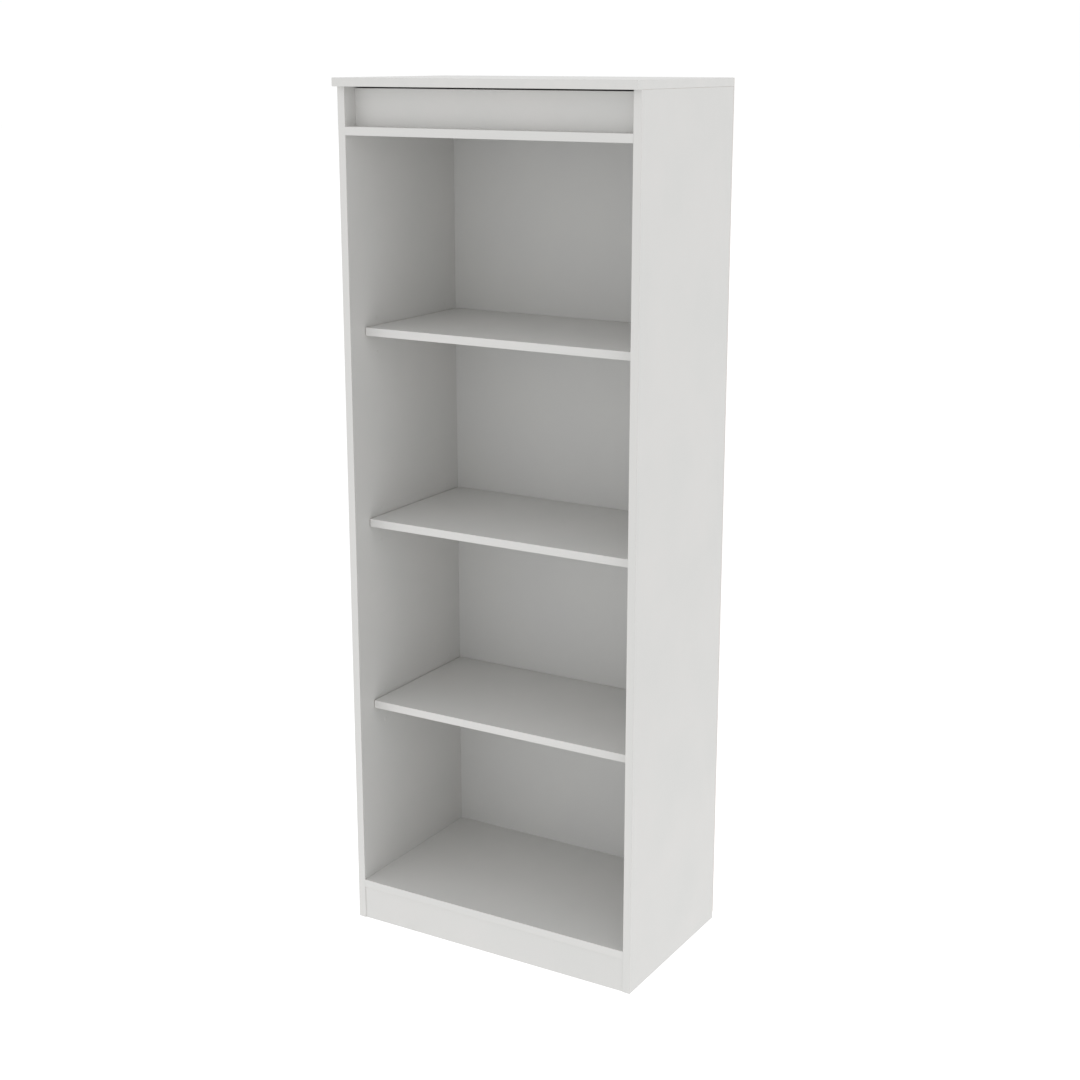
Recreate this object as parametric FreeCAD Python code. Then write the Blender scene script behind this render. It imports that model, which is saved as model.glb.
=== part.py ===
import FreeCAD, Part
import os
from collections import defaultdict

# Bookcase with three adjustable shelves, in white melamine-faced board.
# Millimetres, +Z up. The origin is on the floor, in the middle of the footprint. The open front faces -Y.

Vector = FreeCAD.Vector

# --- Driving dimensions -------------------------------------------------------------------------
WIDTH = 600.0                 # over the outer faces of the sides
HEIGHT = 1600.0               # floor to the upper face of the top panel
SIDE_DEPTH = 345.0            # front edge to rear edge of a side panel
BOARD = 15.0                  # thickness of every board
BACK = 3.0                    # thickness of the back panel
EDGING = 1.0                  # thickness of the edge strips
TOP_OVERHANG = 15.0           # how far the top panel stands in front of the sides

PLINTH_HEIGHT = 65.0
PLINTH_SETBACK = 1.5
HEADER_HEIGHT = 65.0
HEADER_SETBACK = 31.5
HEADER_GAP = 3.5              # open shadow gap between header rail and top panel

FIRST_BAY = 342.5             # clear height of the lowest bay
SHELF_PITCH = 360.0           # rise from one adjustable shelf to the next
SHELF_SETBACK = 44.0          # shelf front edge behind the front edges of the sides
SHELF_END_GAP = 1.5           # between a shelf end and the side panel
SHELF_REAR_GAP = 1.0          # between a shelf and the back panel
SHELF_NAMES = ("lower", "middle", "upper")

# Shelf pins, and the plugs that close the spare pin holes
PIN_HOLE_RADIUS = 2.5
PIN_HOLE_DEPTH = 10.0
PIN_FIT = 0.05                # radial running clearance of a pin in its hole
PIN_SHANK = 9.0
PIN_CHAMFER = 0.5
PIN_FLANGE_RADIUS = 2.9
PIN_FLANGE = 1.0
PIN_TONGUE_LENGTH = 9.0
PIN_TONGUE_WIDTH = 5.5
PIN_TONGUE_BELOW = 2.2        # tongue's lower face below the pin's axis
PIN_RISE = 3.2                # tongue's upper face above the pin's axis
PIN_FROM_SHELF_EDGE = 37.0    # pin axis to the front or rear edge of its shelf
PIN_HOLE_PITCH = 32.0
SPARE_STEPS = (-1, 1)         # spare holes, in pitches from the hole in use
PLUG_SHANK = 7.0
PLUG_HEAD_RADIUS = 3.4
PLUG_HEAD = 0.6

# Knock-down fittings: cam lock, cam bolt and dowel
CAM_RADIUS = 6.0
CAM_POCKET_DEPTH = 12.3
CAM_SUNK = 0.3                # cam's open face below the board's face
CAM_FROM_END = 24.0           # cam axis to the end of its board
CAM_FIT = 0.1
CAM_SLOT_LENGTH = 7.0
CAM_SLOT_WIDTH = 1.4
CAM_SLOT_DEPTH = 1.6
BOLT_THREAD_RADIUS = 2.5
BOLT_THREAD_LENGTH = 10.5
BOLT_COLLAR_RADIUS = 3.4
BOLT_COLLAR = 1.5
BOLT_SHAFT_RADIUS = 1.8
BOLT_HEAD_RADIUS = 2.8
BOLT_HEAD = 3.5
BOLT_BORE_RADIUS = 3.6
DOWEL_RADIUS = 4.0
DOWEL_SHORT_END = 9.5         # length in the face it is glued into
DOWEL_LONG_END = 20.0         # length in the end of the other board
DOWEL_CHAMFER = 0.8
HOLE_EXTRA = 0.5              # holes are this much deeper than what they take
FIXING_FROM_FRONT = 80.0      # front cam axis behind the front edges of the sides
FIXING_FROM_REAR = 50.0       # rear cam axis in front of the rear edges of the sides
DOWEL_FROM_CAM = 32.0
RAIL_CAM_OFFSET = 12.0        # on a rail's end: cam axis above the middle
RAIL_DOWEL_OFFSET = 16.0      # on a rail's end: dowel axis below the middle

# Back panel and its nails
BACK_MARGIN = 1.0             # back panel inside the outline of the boards
BACK_FLOOR_GAP = 12.0
NAIL_RADIUS = 0.8
NAIL_LENGTH = 18.0
NAIL_HEAD_RADIUS = 2.0
NAIL_HEAD = 0.7
NAIL_FIT = 0.05
NAIL_SPACING = 150.0
NAIL_FROM_CORNER = 40.0
NAILS_PER_BOARD = 4

# Steel angle under the fixed top shelf, for a screw into the wall
BRACKET_LEG = 16.0
BRACKET_STEEL = 2.0
BRACKET_WIDTH = 40.0
BRACKET_SCREW_SPREAD = 24.0
BRACKET_HOLE_DROP = 9.0       # hole axis from the outer corner of the angle, on both legs
WALL_HOLE_RADIUS = 2.5
SCREW_RADIUS = 1.6
SCREW_LENGTH = 12.0
SCREW_HEAD_RADIUS = 3.2
SCREW_HEAD = 1.8
SCREW_FIT = 0.1

# --- Derived planes -----------------------------------------------------------------------------
DEPTH = TOP_OVERHANG + SIDE_DEPTH + BACK
Y_TOP_FRONT = -DEPTH / 2
Y_FRONT = Y_TOP_FRONT + TOP_OVERHANG
Y_REAR = Y_FRONT + SIDE_DEPTH
X_OUT = WIDTH / 2
X_IN = X_OUT - BOARD
X_SIDE_MIDDLE = X_OUT - BOARD / 2
Z_TOP_UNDER = HEIGHT - BOARD
Z_BOTTOM_SHELF = PLINTH_HEIGHT
Z_FIXED_SHELF = Z_TOP_UNDER - HEADER_GAP - HEADER_HEIGHT - BOARD
Z_HEADER = Z_FIXED_SHELF + BOARD
Y_HEADER = Y_FRONT + HEADER_SETBACK
Y_PLINTH = Y_FRONT + PLINTH_SETBACK
Y_SHELF_FRONT = Y_FRONT + SHELF_SETBACK
Y_SHELF_REAR = Y_REAR - SHELF_REAR_GAP
SHELF_BASES = {name: Z_BOTTOM_SHELF + BOARD + FIRST_BAY + index * SHELF_PITCH
               for index, name in enumerate(SHELF_NAMES)}
PIN_ROWS = {"front": Y_SHELF_FRONT + PIN_FROM_SHELF_EDGE, "rear": Y_SHELF_REAR - PIN_FROM_SHELF_EDGE}
SIDES = {"left": -1, "right": 1}


# --- Basic shapes -------------------------------------------------------------------------------
def box(low, high):
    """A block between two corners, each (x, y, z)."""
    size = [b - a for a, b in zip(low, high)]
    return Part.makeBox(*size, Vector(*low))


def rod(radius, start, end, axis=Vector(1, 0, 0)):
    """A cylinder on an axis through the origin, from start to end along it."""
    return Part.makeCylinder(radius, end - start, axis * start, axis)


def place(shape, at, along, up):
    """A copy with its +X turned to along, its +Z to up, and its origin moved to at."""
    turned = FreeCAD.Rotation(along, up.cross(along), up, "XZY")
    copy = shape.copy()
    copy.Placement = FreeCAD.Placement(at, turned)
    return copy


# --- Fittings, each on the +X axis with its joint plane at x = 0 -------------------------------------
def cam_bolt():
    """Threaded into the board at -X, its head reaching the cam in the board at +X."""
    head_start = CAM_FROM_END - BOLT_HEAD / 2
    return rod(BOLT_THREAD_RADIUS - CAM_FIT, -BOLT_THREAD_LENGTH, 0).fuse([
        rod(BOLT_COLLAR_RADIUS, 0, BOLT_COLLAR),
        rod(BOLT_SHAFT_RADIUS, BOLT_COLLAR, head_start),
        rod(BOLT_HEAD_RADIUS, head_start, head_start + BOLT_HEAD)]).removeSplitter()


def cam_blank(radius, sunk, depth):
    """A disc on the cam's axis, sunk below the board's +Z face and reaching depth below it."""
    disc = rod(radius, BOARD / 2 - depth, BOARD / 2 - sunk, Vector(0, 0, 1))
    return disc.translated(Vector(CAM_FROM_END, 0, 0))


def cam_lock():
    """A hollow cam that takes the bolt's head, with a cross slot for the screwdriver."""
    cam = cam_blank(CAM_RADIUS, CAM_SUNK, CAM_POCKET_DEPTH - CAM_FIT)
    throat = rod(BOLT_BORE_RADIUS, CAM_FROM_END - 2 * CAM_RADIUS, CAM_FROM_END + BOLT_HEAD)
    slot_floor = BOARD / 2 - CAM_SUNK - CAM_SLOT_DEPTH
    centre = Vector(CAM_FROM_END, 0, slot_floor + CAM_SLOT_DEPTH / 2)
    cross = []
    for length, width in ((CAM_SLOT_LENGTH, CAM_SLOT_WIDTH), (CAM_SLOT_WIDTH, CAM_SLOT_LENGTH)):
        corner = Vector(length / 2, width / 2, CAM_SLOT_DEPTH / 2)
        cross.append(box(centre - corner, centre + corner))
    return cam.cut([throat] + cross)


def dowel(clearance=0.0, extra=0.0):
    """A beech dowel across the joint plane; with a clearance it is the pair of holes it needs."""
    body = rod(DOWEL_RADIUS + clearance, -DOWEL_SHORT_END - extra, DOWEL_LONG_END + extra)
    if clearance:
        return body
    rims = [edge for edge in body.Edges if edge.Curve.TypeId == "Part::GeomCircle"]
    return body.makeChamfer(DOWEL_CHAMFER, rims)


def nail(clearance=0.0):
    """Flat-headed nail on the Y axis, its head flush with y = 0 and its point at -Y."""
    shank = rod(NAIL_RADIUS + clearance, 0, NAIL_LENGTH + clearance, Vector(0, -1, 0))
    head = rod(NAIL_HEAD_RADIUS + clearance, 0, NAIL_HEAD + clearance, Vector(0, -1, 0))
    return shank.fuse(head)


def shelf_pin():
    """Pin with its shank at -X, its flange on the panel at x = 0 and a flat-topped tongue at +X."""
    shank = rod(PIN_HOLE_RADIUS - PIN_FIT, -PIN_SHANK, 0)
    tip = [edge for edge in shank.Edges if edge.BoundBox.XMax < -PIN_SHANK / 2]
    shank = shank.makeChamfer(PIN_CHAMFER, tip)
    tongue = box((0, -PIN_TONGUE_WIDTH / 2, -PIN_TONGUE_BELOW),
                 (PIN_FLANGE + PIN_TONGUE_LENGTH, PIN_TONGUE_WIDTH / 2, PIN_RISE))
    nose = [edge for edge in tongue.Edges
            if edge.BoundBox.XMin > PIN_FLANGE and edge.BoundBox.ZLength > PIN_RISE]
    tongue = tongue.makeFillet(PIN_TONGUE_WIDTH / 3, nose)
    return shank.fuse([rod(PIN_FLANGE_RADIUS, 0, PIN_FLANGE), tongue])


def hole_plug():
    """Plug for a spare pin hole: shank at -X and a thin, flat head on the panel."""
    shank = rod(PIN_HOLE_RADIUS - PIN_FIT, -PLUG_SHANK, 0)
    head = rod(PLUG_HEAD_RADIUS, 0, PLUG_HEAD)
    rim = [edge for edge in head.Edges if edge.BoundBox.XMin > PLUG_HEAD / 2]
    return shank.fuse(head.makeChamfer(PLUG_HEAD / 2, rim))


def bracket_screw(clearance=0.0):
    """Round-headed screw pointing up, the underside of its head at z = 0."""
    shank = rod(SCREW_RADIUS + clearance, 0, SCREW_LENGTH + clearance, Vector(0, 0, 1))
    head = rod(SCREW_HEAD_RADIUS, -SCREW_HEAD, 0, Vector(0, 0, 1))
    if clearance:
        return shank
    rim = [edge for edge in head.Edges if edge.BoundBox.ZMax < -SCREW_HEAD / 2]
    return shank.fuse(head.makeFillet(SCREW_HEAD * 2 / 3, rim))


# --- Boards, before drilling ----------------------------------------------------------------------
def make_boards():
    """Every fixed board, by node name."""
    boards = {
        "top_panel": box((-X_OUT + EDGING, Y_TOP_FRONT + EDGING, Z_TOP_UNDER),
                         (X_OUT - EDGING, Y_REAR, HEIGHT)),
        "fixed_top_shelf": box((-X_IN, Y_FRONT + EDGING, Z_FIXED_SHELF),
                               (X_IN, Y_REAR, Z_FIXED_SHELF + BOARD)),
        "bottom_shelf": box((-X_IN, Y_FRONT + EDGING, Z_BOTTOM_SHELF),
                            (X_IN, Y_REAR, Z_BOTTOM_SHELF + BOARD)),
        "header_rail": box((-X_IN, Y_HEADER, Z_HEADER), (X_IN, Y_HEADER + BOARD, Z_HEADER + HEADER_HEIGHT)),
        "plinth_board": box((-X_IN, Y_PLINTH, 0), (X_IN, Y_PLINTH + BOARD, PLINTH_HEIGHT)),
        "rear_base_rail": box((-X_IN, Y_REAR - BOARD, 0), (X_IN, Y_REAR, PLINTH_HEIGHT)),
        "back_panel": box((-X_OUT + BACK_MARGIN, Y_REAR, BACK_FLOOR_GAP),
                          (X_OUT - BACK_MARGIN, Y_REAR + BACK, HEIGHT - BACK_MARGIN)),
    }
    for name, sign in SIDES.items():
        inner, outer = sorted((sign * X_IN, sign * X_OUT))
        boards[name + "_side_panel"] = box((inner, Y_FRONT + EDGING, 0), (outer, Y_REAR, Z_TOP_UNDER))
    return boards


def make_edging():
    """The glued edge strips of the fixed boards, by node name; each board's strips are one node."""
    strips = {
        "fixed_top_shelf_edging": [box((-X_IN, Y_FRONT, Z_FIXED_SHELF),
                                       (X_IN, Y_FRONT + EDGING, Z_FIXED_SHELF + BOARD))],
        "bottom_shelf_edging": [box((-X_IN, Y_FRONT, Z_BOTTOM_SHELF),
                                    (X_IN, Y_FRONT + EDGING, Z_BOTTOM_SHELF + BOARD))],
        "top_panel_edging": [box((-X_OUT, Y_TOP_FRONT, Z_TOP_UNDER),
                                 (X_OUT, Y_TOP_FRONT + EDGING, HEIGHT))],
    }
    for name, sign in SIDES.items():
        inner, outer = sorted((sign * X_IN, sign * X_OUT))
        strips[name + "_side_edging"] = [box((inner, Y_FRONT, 0), (outer, Y_FRONT + EDGING, Z_TOP_UNDER))]
        near, far = sorted((sign * (X_OUT - EDGING), sign * X_OUT))
        strips["top_panel_edging"].append(box((near, Y_TOP_FRONT + EDGING, Z_TOP_UNDER),
                                              (far, Y_REAR, HEIGHT)))
    return strips


# --- Joints of the carcass --------------------------------------------------------------------------
def end_joints():
    """Every cam and dowel: kind, board it enters, board it holds, place, direction, cam's open side."""
    up = Vector(0, 0, 1)
    rearward = Vector(0, 1, 0)
    cam_rows = (Y_FRONT + FIXING_FROM_FRONT, Y_REAR - FIXING_FROM_REAR)
    dowel_rows = (cam_rows[0] + DOWEL_FROM_CAM, cam_rows[1] - DOWEL_FROM_CAM)
    rows = [("cam", y) for y in cam_rows] + [("dowel", y) for y in dowel_rows]
    steps = (("cam", RAIL_CAM_OFFSET), ("dowel", -RAIL_DOWEL_OFFSET))
    shelves = (("fixed_top_shelf", Z_FIXED_SHELF + BOARD / 2, up),
               ("bottom_shelf", Z_BOTTOM_SHELF + BOARD / 2, -up))
    rails = (("header_rail", Y_HEADER + BOARD / 2, Z_HEADER + HEADER_HEIGHT / 2, rearward),
             ("plinth_board", Y_PLINTH + BOARD / 2, PLINTH_HEIGHT / 2, rearward),
             ("rear_base_rail", Y_REAR - BOARD / 2, PLINTH_HEIGHT / 2, -rearward))
    joints = []
    for name, sign in SIDES.items():
        side = name + "_side_panel"
        inward = Vector(-sign, 0, 0)
        for shelf, z, open_side in shelves:
            joints += [(kind, side, shelf, Vector(sign * X_IN, y, z), inward, open_side) for kind, y in rows]
        for rail, y, middle, open_side in rails:
            joints += [(kind, side, rail, Vector(sign * X_IN, y, middle + step), inward, open_side)
                       for kind, step in steps]
        joints += [(kind, "top_panel", side, Vector(sign * X_SIDE_MIDDLE, y, Z_TOP_UNDER), -up, inward)
                   for kind, y in rows]
    return joints


def fit_joints(holes, nodes):
    """Adds the cams, bolts and dowels, and the holes that they need in both boards."""
    fitting = {"cam": (("cam_locks", cam_lock()), ("cam_bolts", cam_bolt())),
               "dowel": (("wood_dowels", dowel()),)}
    thread_hole = rod(BOLT_THREAD_RADIUS, -BOLT_THREAD_LENGTH - HOLE_EXTRA, 0)
    cam_pocket = cam_blank(CAM_RADIUS + CAM_FIT, 0, CAM_POCKET_DEPTH)
    cam_hole = rod(BOLT_BORE_RADIUS, 0, CAM_FROM_END).fuse(cam_pocket)
    dowel_hole = dowel(CAM_FIT, HOLE_EXTRA)
    cutter = {"cam": (thread_hole, cam_hole), "dowel": (dowel_hole, dowel_hole)}
    for kind, entered, held, at, along, open_side in end_joints():
        for node, shape in fitting[kind]:
            nodes[node].append(place(shape, at, along, open_side))
        for board, shape in zip((entered, held), cutter[kind]):
            holes[board].append(place(shape, at, along, open_side))


def fit_pins(holes, nodes):
    """Adds the shelf pins, and the plugs in the spare holes above and below each of them."""
    bore = rod(PIN_HOLE_RADIUS, -PIN_HOLE_DEPTH, 0)
    up = Vector(0, 0, 1)
    for shelf, base in SHELF_BASES.items():
        for name, sign in SIDES.items():
            inward = Vector(-sign, 0, 0)
            for row, y in PIN_ROWS.items():
                at = Vector(sign * X_IN, y, base - PIN_RISE)
                spares = [at + up * step * PIN_HOLE_PITCH for step in SPARE_STEPS]
                nodes["_".join(("shelf_pin", shelf, name, row))].append(place(shelf_pin(), at, inward, up))
                nodes["hole_plugs"] += [place(hole_plug(), spare, inward, up) for spare in spares]
                holes[name + "_side_panel"] += [place(bore, mouth, inward, up) for mouth in [at] + spares]


def nail_places():
    """Every nail: the board that it enters, and its x and z."""
    low = BACK_FLOOR_GAP + NAIL_FROM_CORNER
    high = Z_TOP_UNDER - NAIL_FROM_CORNER
    count = int((high - low) / NAIL_SPACING) + 1
    places = []
    for name, sign in SIDES.items():
        for index in range(count + 1):
            places.append((name + "_side_panel", sign * X_SIDE_MIDDLE, low + (high - low) * index / count))
    for board, base in (("top_panel", Z_TOP_UNDER), ("fixed_top_shelf", Z_FIXED_SHELF),
                        ("bottom_shelf", Z_BOTTOM_SHELF)):
        for index in range(NAILS_PER_BOARD):
            x = -X_IN + 2 * X_IN * (index + 0.5) / NAILS_PER_BOARD
            places.append((board, x, base + BOARD / 2))
    return places


def fit_back(holes, nodes):
    """Adds the nails of the back panel, flush with its rear face."""
    for board, x, z in nail_places():
        at = Vector(x, Y_REAR + BACK, z)
        nodes["back_panel_nails"].append(nail().translated(at))
        for drilled in (board, "back_panel"):
            holes[drilled].append(nail(NAIL_FIT).translated(at))


def fit_bracket(holes, nodes):
    """Adds the steel angle under the fixed top shelf, its two screws, and the hole for a wall screw."""
    half = BRACKET_WIDTH / 2
    angle = box((-half, Y_REAR - BRACKET_LEG, Z_FIXED_SHELF - BRACKET_STEEL), (half, Y_REAR, Z_FIXED_SHELF))
    upright = box((-half, Y_REAR - BRACKET_STEEL, Z_FIXED_SHELF - BRACKET_LEG), (half, Y_REAR, Z_FIXED_SHELF))
    wall_hole = rod(WALL_HOLE_RADIUS, -BRACKET_STEEL, BACK, Vector(0, 1, 0))
    wall_hole.translate(Vector(0, Y_REAR, Z_FIXED_SHELF - BRACKET_HOLE_DROP))
    cutters = []
    for side in (-1, 1):
        at = Vector(side * BRACKET_SCREW_SPREAD / 2, Y_REAR - BRACKET_HOLE_DROP, Z_FIXED_SHELF - BRACKET_STEEL)
        nodes["bracket_screws"].append(bracket_screw().translated(at))
        cutters.append(bracket_screw(SCREW_FIT).translated(at))
    nodes["wall_bracket"].append(angle.fuse(upright).removeSplitter().cut(cutters + [wall_hole]))
    holes["fixed_top_shelf"] += cutters
    holes["back_panel"].append(wall_hole)


def make_adjustable_shelves(nodes):
    """The three loose shelves, each a board with an edge strip on its front."""
    end = X_IN - SHELF_END_GAP
    y_strip = Y_SHELF_FRONT + EDGING
    for name, base in SHELF_BASES.items():
        top = base + BOARD
        nodes[name + "_shelf"].append(box((-end, y_strip, base), (end, Y_SHELF_REAR, top)))
        nodes[name + "_shelf_edging"].append(box((-end, Y_SHELF_FRONT, base), (end, y_strip, top)))


def main():
    """Builds every node and writes one STEP file for each."""
    nodes = defaultdict(list)
    holes = defaultdict(list)
    fit_joints(holes, nodes)
    fit_pins(holes, nodes)
    fit_back(holes, nodes)
    fit_bracket(holes, nodes)
    make_adjustable_shelves(nodes)
    nodes.update(make_edging())
    for name, blank in make_boards().items():
        nodes[name] = [blank.cut(holes[name])]
    os.makedirs("parts", exist_ok=True)
    for name, shapes in nodes.items():
        shape = shapes[0] if len(shapes) == 1 else Part.makeCompound(shapes)
        shape.exportStep(os.path.join("parts", name + ".step"))


main()
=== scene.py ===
"""Bookcase with three adjustable shelves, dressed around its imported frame.

Every size is in metres, in the frame's own axes: +Z up, the open front faces -Y.
"""
import logging
import math
from dataclasses import dataclass, field
from enum import Enum

import bmesh
import bpy
from mathutils import Matrix, Vector


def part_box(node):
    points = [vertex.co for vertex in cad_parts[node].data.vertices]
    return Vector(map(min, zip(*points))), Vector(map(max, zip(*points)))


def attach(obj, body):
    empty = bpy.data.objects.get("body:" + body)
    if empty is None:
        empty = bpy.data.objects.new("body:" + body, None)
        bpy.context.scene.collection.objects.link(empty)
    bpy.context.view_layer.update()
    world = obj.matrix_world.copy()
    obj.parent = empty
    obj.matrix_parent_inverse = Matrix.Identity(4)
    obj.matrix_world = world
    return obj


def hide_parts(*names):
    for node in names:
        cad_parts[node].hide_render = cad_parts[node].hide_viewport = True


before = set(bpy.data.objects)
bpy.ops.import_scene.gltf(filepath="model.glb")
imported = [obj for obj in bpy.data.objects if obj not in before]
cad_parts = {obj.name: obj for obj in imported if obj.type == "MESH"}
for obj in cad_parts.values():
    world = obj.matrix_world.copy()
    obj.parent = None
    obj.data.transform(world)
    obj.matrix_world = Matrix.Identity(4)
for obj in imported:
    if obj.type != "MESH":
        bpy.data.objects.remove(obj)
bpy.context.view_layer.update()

MM = 0.001
# Corners closer together than this are one corner.
SAME_POINT = 0.001 * MM
# A corner that is no farther off a plane than this lies in it.
IN_PLANE = 0.01 * MM
# Two directions agree when their dot product is above this.
SAME_WAY = 0.9
# A face is square to an axis when its normal's part along that axis is above this.
SQUARE_ON = 0.9999
# Faces that bend less than this are joined into one.
FLAT_BEND = math.radians(0.5)
# An edge between faces that bend less than this is shaded smooth.
SMOOTH_BEND = math.radians(30)
# The span that a noise seldom leaves.
NOISE_SPAN = (0.3, 0.7)
LOG = logging.getLogger("bookcase")


class Face(Enum):
    """The six faces of a board, each by its outward normal."""

    FRONT = (0, -1, 0)
    REAR = (0, 1, 0)
    LEFT = (-1, 0, 0)
    RIGHT = (1, 0, 0)
    TOP = (0, 0, 1)
    UNDER = (0, 0, -1)


class Run(Enum):
    """The way a strip or a grain runs, as a stretch of the pattern along each axis."""

    ACROSS = (0.04, 1.0, 1.0)
    UPRIGHT = (1.0, 1.0, 0.04)
    NONE = (1.0, 1.0, 1.0)


def linear(hex_colour: str) -> tuple[float, float, float, float]:
    """Turns an sRGB hex colour into a linear one.

    Args:
        hex_colour: Six hex digits after a hash sign.

    Returns:
        Linear red, green, blue, and an alpha of 1.
    """
    parts = (int(hex_colour[i:i + 2], 16) / 255 for i in (1, 3, 5))
    return (*(c / 12.92 if c <= 0.04045 else ((c + 0.055) / 1.055) ** 2.4 for c in parts), 1.0)


def add_node(tree: bpy.types.NodeTree, kind: str, settings: dict | None = None,
             inputs: dict | None = None) -> bpy.types.Node:
    """Adds a node with its settings and links.

    Args:
        tree: The node tree that gets it.
        kind: The node's type.
        settings: The node's own properties, by name.
        inputs: A value or another node's output for each input, by name or number.

    Returns:
        The new node.
    """
    node = tree.nodes.new(kind)
    for name, value in (settings or {}).items():
        setattr(node, name, value)
    for name, value in (inputs or {}).items():
        if isinstance(value, bpy.types.NodeSocket):
            tree.links.new(value, node.inputs[name])
        else:
            node.inputs[name].default_value = value
    return node


@dataclass(frozen=True)
class Finish:
    """A real material and how its surface was made.

    The pattern is noise in two sizes: a broad one that clouds the colour between two tones,
    and a fine one that gives the surface its tooth.

    Attributes:
        name: The material's name.
        colour: The main tone, in sRGB hex.
        shade: The tone that the clouds go towards, in sRGB hex.
        cloud: The size of the clouds.
        tooth: The size of the fine grain.
        depth: The height of the fine grain.
        roughness: The middle of the roughness.
        swing: How far the clouds move the roughness either way.
        ior: The index of refraction.
        metallic: 1 for a metal.
        run: The way the pattern is drawn out.
        detail: How many finer layers the noise has.
    """

    name: str
    colour: str
    shade: str
    cloud: float
    tooth: float
    depth: float
    roughness: float
    swing: float = 0.05
    ior: float = 1.5
    metallic: float = 0.0
    run: Run = Run.NONE
    detail: float = 3.0

    def material(self) -> bpy.types.Material:
        """Returns this finish's material, made on first use."""
        return bpy.data.materials.get(self.name) or self.build()

    def build(self) -> bpy.types.Material:
        """Builds the material's nodes.

        Returns:
            The new material.
        """
        made = bpy.data.materials.new(self.name)
        made.use_nodes = True
        tree = made.node_tree
        shader = tree.nodes["Principled BSDF"]
        shader.inputs["IOR"].default_value = self.ior
        shader.inputs["Metallic"].default_value = self.metallic
        place = add_node(tree, "ShaderNodeTexCoord").outputs["Object"]
        place = add_node(tree, "ShaderNodeMapping",
                         inputs={"Vector": place, "Scale": self.run.value}).outputs[0]
        broad = self.noise(tree, place, self.cloud)
        fine = self.noise(tree, place, self.tooth)
        # A mix of colours has its factor at 0, its two colours at 6 and 7, and its result at 2.
        tint = add_node(tree, "ShaderNodeMix", {"data_type": "RGBA"},
                        {0: self.pattern(tree, place, broad, fine),
                         6: linear(self.colour), 7: linear(self.shade)})
        gloss = add_node(tree, "ShaderNodeMapRange", inputs={
            "Value": broad, "To Min": self.roughness - self.swing, "To Max": self.roughness + self.swing})
        bump = add_node(tree, "ShaderNodeBump", inputs={"Height": fine, "Distance": self.depth})
        for socket, source in (("Base Color", tint.outputs[2]), ("Roughness", gloss.outputs[0]),
                               ("Normal", bump.outputs[0])):
            tree.links.new(source, shader.inputs[socket])
        return made

    def noise(self, tree: bpy.types.NodeTree, place: bpy.types.NodeSocket,
              size: float) -> bpy.types.NodeSocket:
        """Adds a noise.

        Args:
            tree: The material's tree.
            place: Where the noise is read.
            size: The size of its spots.

        Returns:
            The noise, from 0 to 1.
        """
        made = add_node(tree, "ShaderNodeTexNoise", inputs={
            "Vector": place, "Scale": 1 / size, "Detail": self.detail, "Roughness": 0.55})
        return made.outputs[0]

    def pattern(self, tree: bpy.types.NodeTree, place: bpy.types.NodeSocket,
                broad: bpy.types.NodeSocket, fine: bpy.types.NodeSocket) -> bpy.types.NodeSocket:
        """Finds how far the colour goes towards the shade.

        Args:
            tree: The material's tree.
            place: Where the pattern is read; not used by these plain clouds.
            broad: The broad noise.
            fine: The fine noise; not used by these plain clouds.

        Returns:
            The broad clouds, spread out over 0 to 1.
        """
        made = add_node(tree, "ShaderNodeMapRange",
                        inputs={"Value": broad, "From Min": NOISE_SPAN[0], "From Max": NOISE_SPAN[1]})
        return made.outputs[0]


@dataclass(frozen=True)
class Flaked(Finish):
    """A finish made of pressed flakes, each with its own tone."""

    def pattern(self, tree: bpy.types.NodeTree, place: bpy.types.NodeSocket,
                broad: bpy.types.NodeSocket, fine: bpy.types.NodeSocket) -> bpy.types.NodeSocket:
        """Returns the tone of each flake.

        Args:
            tree: The material's tree.
            place: Where the pattern is read.
            broad: The broad noise.
            fine: The fine noise.

        Returns:
            A value from 0 to 1, one for each flake, softened by the fine noise.
        """
        flakes = add_node(tree, "ShaderNodeTexVoronoi", inputs={"Vector": place, "Scale": 1 / self.tooth})
        tone = add_node(tree, "ShaderNodeSeparateColor", inputs={"Color": flakes.outputs["Color"]})
        half_tone = add_node(tree, "ShaderNodeMath", {"operation": "MULTIPLY"},
                             {0: tone.outputs[0], 1: 0.5})
        mixed = add_node(tree, "ShaderNodeMath", {"operation": "MULTIPLY_ADD"},
                         {0: fine, 1: 0.5, 2: half_tone.outputs[0]})
        return mixed.outputs[0]


# White melamine foil pressed on particle board: an even satin white with a very fine pearl tooth.
# The tooth of the press plate is 0.2 to 0.4 mm; it is drawn at 1.5 mm so that it shows at all.
MELAMINE = Finish("melamine_pearl_white", colour="#D2D1CF", shade="#CFCFCD",
                  cloud=140 * MM, tooth=1.5 * MM, depth=0.02 * MM, roughness=0.42)
# White ABS edge strip, extruded: slightly glossier than the foil, with faint lines along its length.
STRIPS = {run: Finish("abs_edge_strip_" + run.name.lower(), colour="#D3D2D0", shade="#D0D0CE",
                      cloud=20 * MM, tooth=1.2 * MM, depth=0.02 * MM, roughness=0.36, run=run)
          for run in Run}
# The raw edge of particle board: pressed flakes of 1 to 3 mm in tan and brown, rough and open.
CHIPBOARD = Flaked("particle_board_raw", colour="#B99B6E", shade="#8A6A42",
                   cloud=30 * MM, tooth=2.2 * MM, depth=0.3 * MM, roughness=0.85, swing=0.08)
# Hardboard's lacquered face: a thin roller-coated white, a little flatter than the melamine.
LACQUER = Finish("hardboard_lacquered_white", colour="#CFCFCD", shade="#CDCDCC",
                 cloud=160 * MM, tooth=2.0 * MM, depth=0.03 * MM, roughness=0.5)
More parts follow.
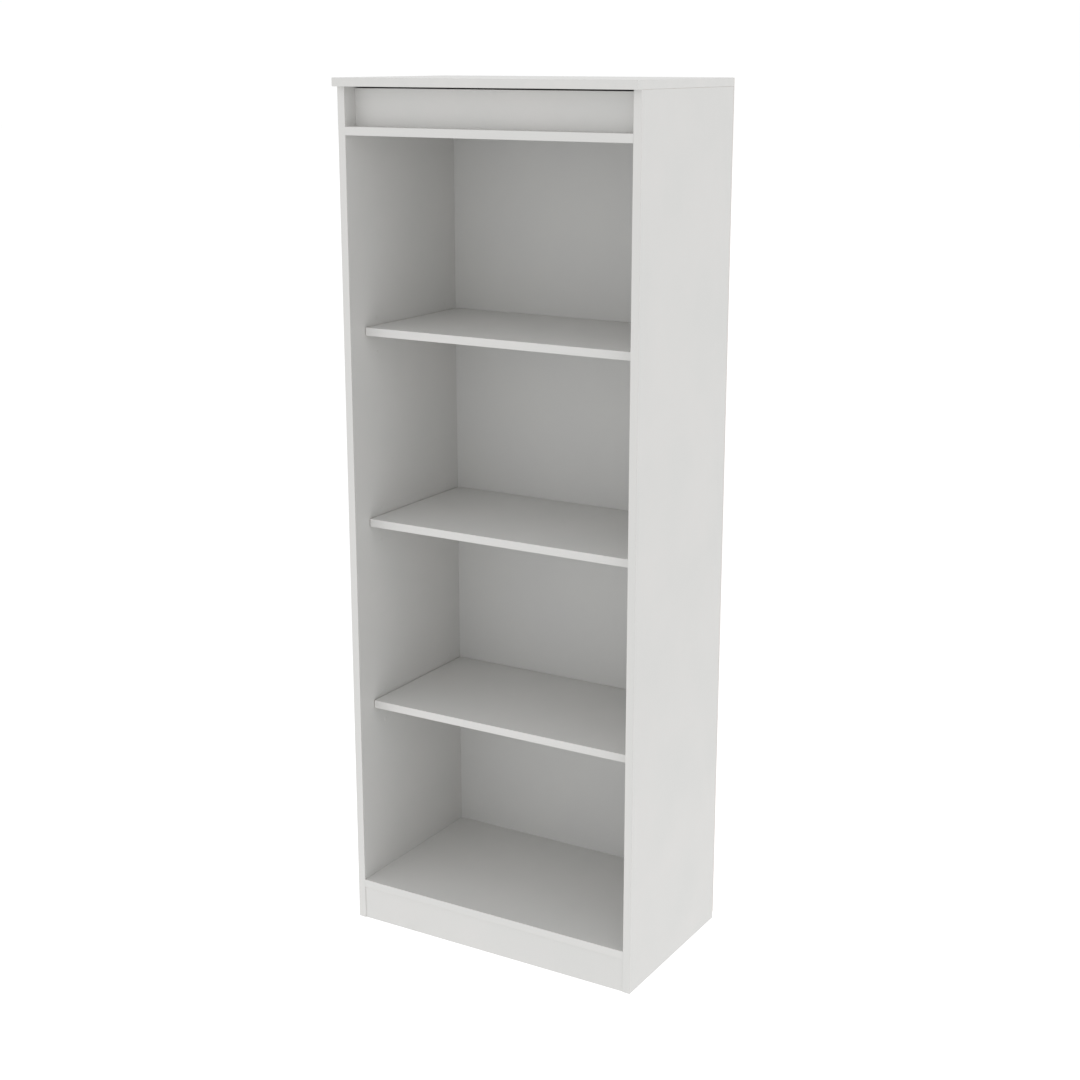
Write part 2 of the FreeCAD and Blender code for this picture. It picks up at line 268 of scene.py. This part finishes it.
# Hardboard's raw face: pressed brown fibre, mottled in spots of about 5 mm.
FIBRE = Finish("hardboard_raw_fibre", colour="#917759", shade="#826848",
               cloud=5 * MM, tooth=1.2 * MM, depth=0.1 * MM, roughness=0.75, swing=0.08, detail=8.0)
# Die-cast zinc: dull grey with the faint skin of the mould.
CAST_ZINC = Finish("zinc_die_cast", colour="#A9ABAD", shade="#96989B",
                   cloud=3 * MM, tooth=0.6 * MM, depth=0.05 * MM, roughness=0.45, metallic=1.0)
# Steel with a bright zinc plating: cool grey, softly mirrored.
ZINC_STEEL = Finish("steel_zinc_plated", colour="#C2C6CA", shade="#ADB2B8",
                    cloud=6 * MM, tooth=0.8 * MM, depth=0.02 * MM, roughness=0.3, metallic=1.0)
# Nickel-plated steel: warm and bright, with soft reflections.
NICKEL = Finish("steel_nickel_plated", colour="#CFC9BE", shade="#C2BBAE",
                cloud=5 * MM, tooth=0.8 * MM, depth=0.01 * MM, roughness=0.22, metallic=1.0)
# Raw turned beech: pinkish tan with short darker flecks along the dowel.
BEECH = Finish("beech_raw", colour="#C79F6F", shade="#A97F52",
               cloud=3 * MM, tooth=0.7 * MM, depth=0.05 * MM, roughness=0.6, run=Run.ACROSS, detail=5.0)
# Moulded white polyethylene: soft satin, a shade warmer than the board round it.
POLYETHYLENE = Finish("polyethylene_moulded_white", colour="#D0D0CE", shade="#CDCDCA",
                      cloud=8 * MM, tooth=0.8 * MM, depth=0.01 * MM, roughness=0.4)


def finish_piece(mesh: bmesh.types.BMesh, name: str, body: str, replaced: str,
                 finishes: list[Finish]) -> bpy.types.Object:
    """Turns a finished bmesh into a piece that rides on its body.

    Args:
        mesh: The piece's shape, in the frame's axes.
        name: The piece's name.
        body: The body it rides on.
        replaced: The CAD node that it stands for.
        finishes: One finish for each material number in the mesh.

    Returns:
        The new object.
    """
    data = bpy.data.meshes.new(name)
    mesh.to_mesh(data)
    mesh.free()
    packed_normals = data.attributes.get("custom_normal")
    if packed_normals:
        data.attributes.remove(packed_normals)
    for finish in finishes:
        data.materials.append(finish.material())
    piece = bpy.data.objects.new(name, data)
    bpy.context.scene.collection.objects.link(piece)
    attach(piece, body)
    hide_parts(replaced)
    LOG.info("%s: %d faces, on %s", name, len(data.polygons), body)
    return piece


def merged_copy(node: str) -> bmesh.types.BMesh:
    """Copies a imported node's mesh and joins its loose triangles into whole faces.

    Args:
        node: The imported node.

    Returns:
        The copy.
    """
    mesh = bmesh.new()
    mesh.from_mesh(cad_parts[node].data)
    bmesh.ops.remove_doubles(mesh, verts=mesh.verts, dist=SAME_POINT)
    bmesh.ops.dissolve_limit(mesh, angle_limit=FLAT_BEND, verts=mesh.verts, edges=mesh.edges)
    return mesh


def shade(mesh: bmesh.types.BMesh, keep_square: bool) -> None:
    """Shades round faces smooth and keeps corners crisp.

    Args:
        mesh: The shape to shade.
        keep_square: Whether each face that is square to the axes is shaded flat, as on a board.
    """
    mesh.normal_update()
    for face in mesh.faces:
        square = max(abs(part) for part in face.normal) > SQUARE_ON
        face.smooth = not (keep_square and square)
    for edge in mesh.edges:
        edge.smooth = edge.is_manifold and edge.calc_face_angle() < SMOOTH_BEND


@dataclass
class Board:
    """A drilled board: faced on both sides, raw or covered on the edges named in raw."""

    node: str
    body: str
    raw: tuple[Face, ...]
    slot: str = "white_board"
    facing: Finish = MELAMINE
    core: Finish = CHIPBOARD
    arris: float = 0.2 * MM

    def build(self) -> bpy.types.Object:
        """Softens the outer edges and dresses every face.

        Returns:
            The board's piece.
        """
        low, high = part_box(self.node)
        mesh = merged_copy(self.node)
        self.dress(mesh, low, high)
        corners = [edge for edge in mesh.edges if self.planes(edge, low, high) == 2]
        bmesh.ops.bevel(mesh, geom=corners, offset=self.arris, offset_type="OFFSET", affect="EDGES",
                        segments=2, profile=0.5, material=-1)
        shade(mesh, keep_square=True)
        return finish_piece(mesh, self.node + "_board", self.body, self.node,
                            [self.facing, self.core])

    def planes(self, edge: bmesh.types.BMEdge, low: Vector, high: Vector) -> int:
        """Counts the outer planes of the board that hold the whole edge.

        Args:
            edge: The edge.
            low: The board's lowest corner.
            high: The board's highest corner.

        Returns:
            How many planes hold it, which is 2 on the board's outer edges.
        """
        ends = [vert.co for vert in edge.verts]
        return sum(all(abs(end[axis] - plane[axis]) < IN_PLANE for end in ends)
                   for axis in range(3) for plane in (low, high))

    def dress(self, mesh: bmesh.types.BMesh, low: Vector, high: Vector) -> None:
        """Gives the core's finish to hole walls and raw edges, and the facing to the rest.

        Args:
            mesh: The board.
            low: The board's lowest corner.
            high: The board's highest corner.
        """
        mesh.normal_update()
        for face in mesh.faces:
            axis = max(range(3), key=lambda i: abs(face.normal[i]))
            plane = high if face.normal[axis] > 0 else low
            outer = all(abs(vert.co[axis] - plane[axis]) < IN_PLANE for vert in face.verts)
            normal = tuple(round(part) for part in face.normal)
            bare = not outer or any(normal == side.value for side in self.raw)
            face.material_index = int(bare)


@dataclass
class EdgeStrip:
    """Glued edge strips on one board: each a thin bar, rounded on its two outer long edges."""

    node: str
    body: str
    bars: list[tuple[Vector, Vector, Face]]
    run: Run
    radius: float = 0.6 * MM
    arris: float = 0.1 * MM

    def build(self) -> bpy.types.Object:
        """Builds each bar.

        Returns:
            The strips' piece.
        """
        mesh = bmesh.new()
        for low, high, outward in self.bars:
            self.add_bar(mesh, low, high, Vector(outward.value))
        shade(mesh, keep_square=True)
        return finish_piece(mesh, self.node + "_strip", self.body, self.node,
                            [STRIPS[self.run]])

    def add_bar(self, mesh: bmesh.types.BMesh, low: Vector, high: Vector, outward: Vector) -> None:
        """Adds one bar between two corners.

        Args:
            mesh: The mesh that gets it.
            low: The bar's lowest corner.
            high: The bar's highest corner.
            outward: The way its visible face looks.
        """
        size = high - low
        where = Matrix.Translation((low + high) / 2) @ Matrix.Diagonal((*size, 1))
        cube = bmesh.ops.create_cube(mesh, size=1, matrix=where)["verts"]
        long_axis = max(range(3), key=lambda i: size[i])
        edges = {edge for vert in cube for edge in vert.link_edges}
        rounded = [edge for edge in edges if self.is_outer_long(edge, outward, long_axis)]
        others = [edge for edge in edges if edge not in rounded]
        bmesh.ops.bevel(mesh, geom=rounded, offset=self.radius, offset_type="OFFSET", affect="EDGES",
                        segments=4, profile=0.5, material=-1)
        others = [edge for edge in others if edge.is_valid]
        bmesh.ops.bevel(mesh, geom=others, offset=self.arris, offset_type="OFFSET", affect="EDGES",
                        segments=1, profile=0.5, material=-1)

    def is_outer_long(self, edge: bmesh.types.BMEdge, outward: Vector, long_axis: int) -> bool:
        """Tells whether an edge is one of the two that get rounded.

        Args:
            edge: The edge.
            outward: The way the bar's visible face looks.
            long_axis: The axis along the bar's length.

        Returns:
            Whether the edge runs the bar's length on its visible face.
        """
        along = (edge.verts[1].co - edge.verts[0].co).normalized()
        on_face = any(face.normal.dot(outward) > SAME_WAY for face in edge.link_faces)
        return abs(along[long_axis]) > SAME_WAY and on_face


@dataclass
class Hardware:
    """Small metal, wood or plastic pieces of one CAD node, with softened edges."""

    node: str
    body: str
    slot: str
    finish: Finish
    arris: float = 0.12 * MM
    sharp: float = math.radians(50)

    def build(self) -> bpy.types.Object:
        """Softens every sharp edge and shades the round faces smooth.

        Returns:
            The pieces' object.
        """
        mesh = merged_copy(self.node)
        self.add_detail(mesh)
        edges = [edge for edge in mesh.edges if edge.is_manifold and edge.calc_face_angle() > self.sharp]
        bmesh.ops.bevel(mesh, geom=edges, offset=self.arris, offset_type="OFFSET", affect="EDGES",
                        segments=1, profile=0.5, material=-1, clamp_overlap=True)
        shade(mesh, keep_square=False)
        return finish_piece(mesh, self.node + "_piece", self.body, self.node, [self.finish])

    def add_detail(self, mesh: bmesh.types.BMesh) -> None:
        """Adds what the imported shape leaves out, which is nothing on a plain fitting."""


@dataclass
class CrossHeadScrews(Hardware):
    """Screws that point up, each with a cross recess in the flat of its head."""

    arm: float = 1.5 * MM
    half_slot: float = 0.35 * MM
    recess: float = 0.9 * MM

    def add_detail(self, mesh: bmesh.types.BMesh) -> None:
        """Presses a cross into each head.

        Args:
            mesh: The screws.
        """
        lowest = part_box(self.node)[0].z
        heads = [face for face in mesh.faces if face.normal.z < -SAME_WAY
                 and all(abs(vert.co.z - lowest) < IN_PLANE for vert in face.verts)]
        for head in heads:
            centre = head.calc_center_bounds()
            cells = self.cut_cells(mesh, head, centre)
            cross = [cell for cell in cells if self.in_cross(cell.calc_center_bounds() - centre)]
            pressed = bmesh.ops.extrude_face_region(mesh, geom=cross)["geom"]
            floor = [part for part in pressed if isinstance(part, bmesh.types.BMVert)]
            bmesh.ops.translate(mesh, vec=(0, 0, self.recess), verts=floor)
            bmesh.ops.delete(mesh, geom=cross, context="FACES")

    def cut_cells(self, mesh: bmesh.types.BMesh, head: bmesh.types.BMFace,
                  centre: Vector) -> list[bmesh.types.BMFace]:
        """Divides a head's flat along the sides of its cross.

        Args:
            mesh: The screws.
            head: The flat of one head.
            centre: The middle of that flat.

        Returns:
            The faces that the flat is divided into.
        """
        parts = [head, *head.edges, *head.verts]
        for way in (Vector((1, 0, 0)), Vector((0, 1, 0))):
            for reach in (-self.arm, -self.half_slot, self.half_slot, self.arm):
                parts = bmesh.ops.bisect_plane(mesh, geom=parts, plane_co=centre + way * reach,
                                               plane_no=way, dist=SAME_POINT)["geom"]
        return [part for part in parts if isinstance(part, bmesh.types.BMFace)]

    def in_cross(self, place: Vector) -> bool:
        """Returns whether a place, measured from the head's middle, lies in the cross."""
        near, far = sorted((abs(place.x), abs(place.y)))
        return near < self.half_slot and far < self.arm


@dataclass
class Carcass:
    """The fixed boards, their edge strips, and the fittings that hold them."""

    body: str = "carcass"
    boards: dict[str, tuple[Face, ...]] = field(default_factory=lambda: {
        "left_side_panel": (Face.FRONT, Face.REAR, Face.TOP, Face.UNDER),
        "right_side_panel": (Face.FRONT, Face.REAR, Face.TOP, Face.UNDER),
        "top_panel": (Face.FRONT, Face.REAR, Face.LEFT, Face.RIGHT),
        "fixed_top_shelf": (Face.FRONT, Face.REAR, Face.LEFT, Face.RIGHT),
        "bottom_shelf": (Face.FRONT, Face.REAR, Face.LEFT, Face.RIGHT),
        "header_rail": (Face.LEFT, Face.RIGHT, Face.UNDER),
        "plinth_board": (Face.LEFT, Face.RIGHT, Face.TOP, Face.UNDER),
        "rear_base_rail": (Face.LEFT, Face.RIGHT, Face.TOP, Face.UNDER),
    })

    def build(self) -> None:
        """Builds the boards, strips and fittings."""
        for node, raw in self.boards.items():
            Board(node, self.body, raw).build()
        self.build_strips()
        for node, slot, finish in (("cam_locks", "zinc", CAST_ZINC), ("cam_bolts", "zinc", ZINC_STEEL),
                                   ("wood_dowels", "beech", BEECH),
                                   ("hole_plugs", "plug_plastic", POLYETHYLENE)):
            Hardware(node, self.body, slot, finish).build()

    def build_strips(self) -> None:
        """Builds the edge strips of the fixed boards."""
        for node, run in (("left_side_edging", Run.UPRIGHT), ("right_side_edging", Run.UPRIGHT),
                          ("fixed_top_shelf_edging", Run.ACROSS), ("bottom_shelf_edging", Run.ACROSS)):
            EdgeStrip(node, self.body, [(*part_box(node), Face.FRONT)], run).build()
        low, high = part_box("top_panel_edging")
        board_low, board_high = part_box("top_panel")
        bars = [(low, Vector((high.x, board_low.y, high.z)), Face.FRONT),
                (Vector((low.x, board_low.y, low.z)), Vector((board_low.x, high.y, high.z)), Face.LEFT),
                (Vector((board_high.x, board_low.y, low.z)), high, Face.RIGHT)]
        EdgeStrip("top_panel_edging", self.body, bars, Run.NONE).build()


@dataclass
class BackPanel:
    """The hardboard back with its nails, and the steel angle that takes a wall screw."""

    body: str = "carcass"

    def build(self) -> None:
        """Builds the sheet, white inside and raw behind, and dresses its fixings."""
        Board("back_panel", self.body, (Face.REAR, Face.LEFT, Face.RIGHT, Face.TOP, Face.UNDER),
              "back_board", LACQUER, FIBRE, 0.1 * MM).build()
        for node in ("back_panel_nails", "wall_bracket"):
            Hardware(node, self.body, "zinc", ZINC_STEEL).build()
        CrossHeadScrews("bracket_screws", self.body, "zinc", ZINC_STEEL).build()


@dataclass
class AdjustableShelf:
    """One loose shelf with its edge strip and its four pins."""

    name: str
    sides: tuple[str, ...] = ("left", "right")
    rows: tuple[str, ...] = ("front", "rear")

    def build(self) -> None:
        """Builds the shelf, its strip and its pins."""
        body = self.name + "_shelf"
        strip = body + "_edging"
        Board(body, body, (Face.FRONT, Face.REAR, Face.LEFT, Face.RIGHT)).build()
        EdgeStrip(strip, body, [(*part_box(strip), Face.FRONT)], Run.ACROSS).build()
        for side in self.sides:
            for row in self.rows:
                place = "_".join((self.name, side, row))
                Hardware("shelf_pin_" + place, "pin_" + place, "nickel", NICKEL).build()


@dataclass
class Studio:
    """A white studio: the floor, the soft light all round, and the camera.

    The floor is painted and lit from within. Its glow goes from the first floor_glow value to
    the second between the two floor_pool distances from the object's middle. Angles are in
    degrees, and the sensor and lens in the camera's own millimetres.
    """

    floor_size: float = 60.0
    floor_colour: str = "#707070"
    floor_roughness: float = 0.9
    floor_glow: tuple[float, float] = (0.98, 0.87)
    floor_pool: tuple[float, float] = (0.5, 1.8)
    sky: float = 1.01
    camera_at: tuple[float, float, float] = (1.651, -2.756, 1.640)
    yaw: float = 30.72
    pitch: float = -14.56
    sensor: float = 36.0
    lens: float = 59.85
    shift: float = -0.0185

    def build(self) -> None:
        """Builds the floor, the light and the camera."""
        self.build_floor()
        self.build_light()
        self.build_camera()

    def build_floor(self) -> None:
        """Lays the floor under the object."""
        mesh = bmesh.new()
        bmesh.ops.create_grid(mesh, x_segments=1, y_segments=1, size=self.floor_size / 2)
        data = bpy.data.meshes.new("studio_floor")
        mesh.to_mesh(data)
        mesh.free()
        data.materials.append(self.floor_paint())
        floor = bpy.data.objects.new("studio_floor", data)
        bpy.context.scene.collection.objects.link(floor)

    def floor_paint(self) -> bpy.types.Material:
        """Makes the floor's white paint, which glows a little more near the object.

        Returns:
            The new material.
        """
        made = bpy.data.materials.new("studio_paint_white")
        made.use_nodes = True
        tree = made.node_tree
        shader = tree.nodes["Principled BSDF"]
        shader.inputs["Base Color"].default_value = linear(self.floor_colour)
        shader.inputs["Roughness"].default_value = self.floor_roughness
        shader.inputs["Emission Color"].default_value = (1, 1, 1, 1)
        place = add_node(tree, "ShaderNodeTexCoord").outputs["Object"]
        reach = add_node(tree, "ShaderNodeVectorMath", {"operation": "LENGTH"}, {0: place})
        near, far = self.floor_pool
        glow_near, glow_far = self.floor_glow
        glow = add_node(tree, "ShaderNodeMapRange", {"interpolation_type": "SMOOTHSTEP"},
                        {"Value": reach.outputs["Value"], "From Min": near, "From Max": far,
                         "To Min": glow_near, "To Max": glow_far})
        tree.links.new(glow.outputs[0], shader.inputs["Emission Strength"])
        return made

    def build_light(self) -> None:
        """Sets an even white all round."""
        world = bpy.data.worlds.new("studio_white")
        world.use_nodes = True
        background = world.node_tree.nodes["Background"]
        background.inputs["Color"].default_value = (1, 1, 1, 1)
        background.inputs["Strength"].default_value = self.sky
        bpy.context.scene.world = world
        bpy.context.scene.view_settings.view_transform = "Standard"

    def build_camera(self) -> None:
        """Sets the camera at the viewing angle."""
        data = bpy.data.cameras.new("view_camera")
        data.sensor_width = self.sensor
        data.lens = self.lens
        data.shift_y = self.shift
        camera = bpy.data.objects.new("view_camera", data)
        camera.location = self.camera_at
        camera.rotation_euler = (math.radians(90 + self.pitch), 0, math.radians(self.yaw))
        bpy.context.scene.collection.objects.link(camera)
        bpy.context.scene.camera = camera


def main() -> None:
    """Builds the bookcase and its studio."""
    logging.basicConfig(level=logging.INFO, format="%(message)s")
    Carcass().build()
    BackPanel().build()
    for name in ("lower", "middle", "upper"):
        AdjustableShelf(name).build()
    Studio().build()


if __name__ == "__main__":
    main()
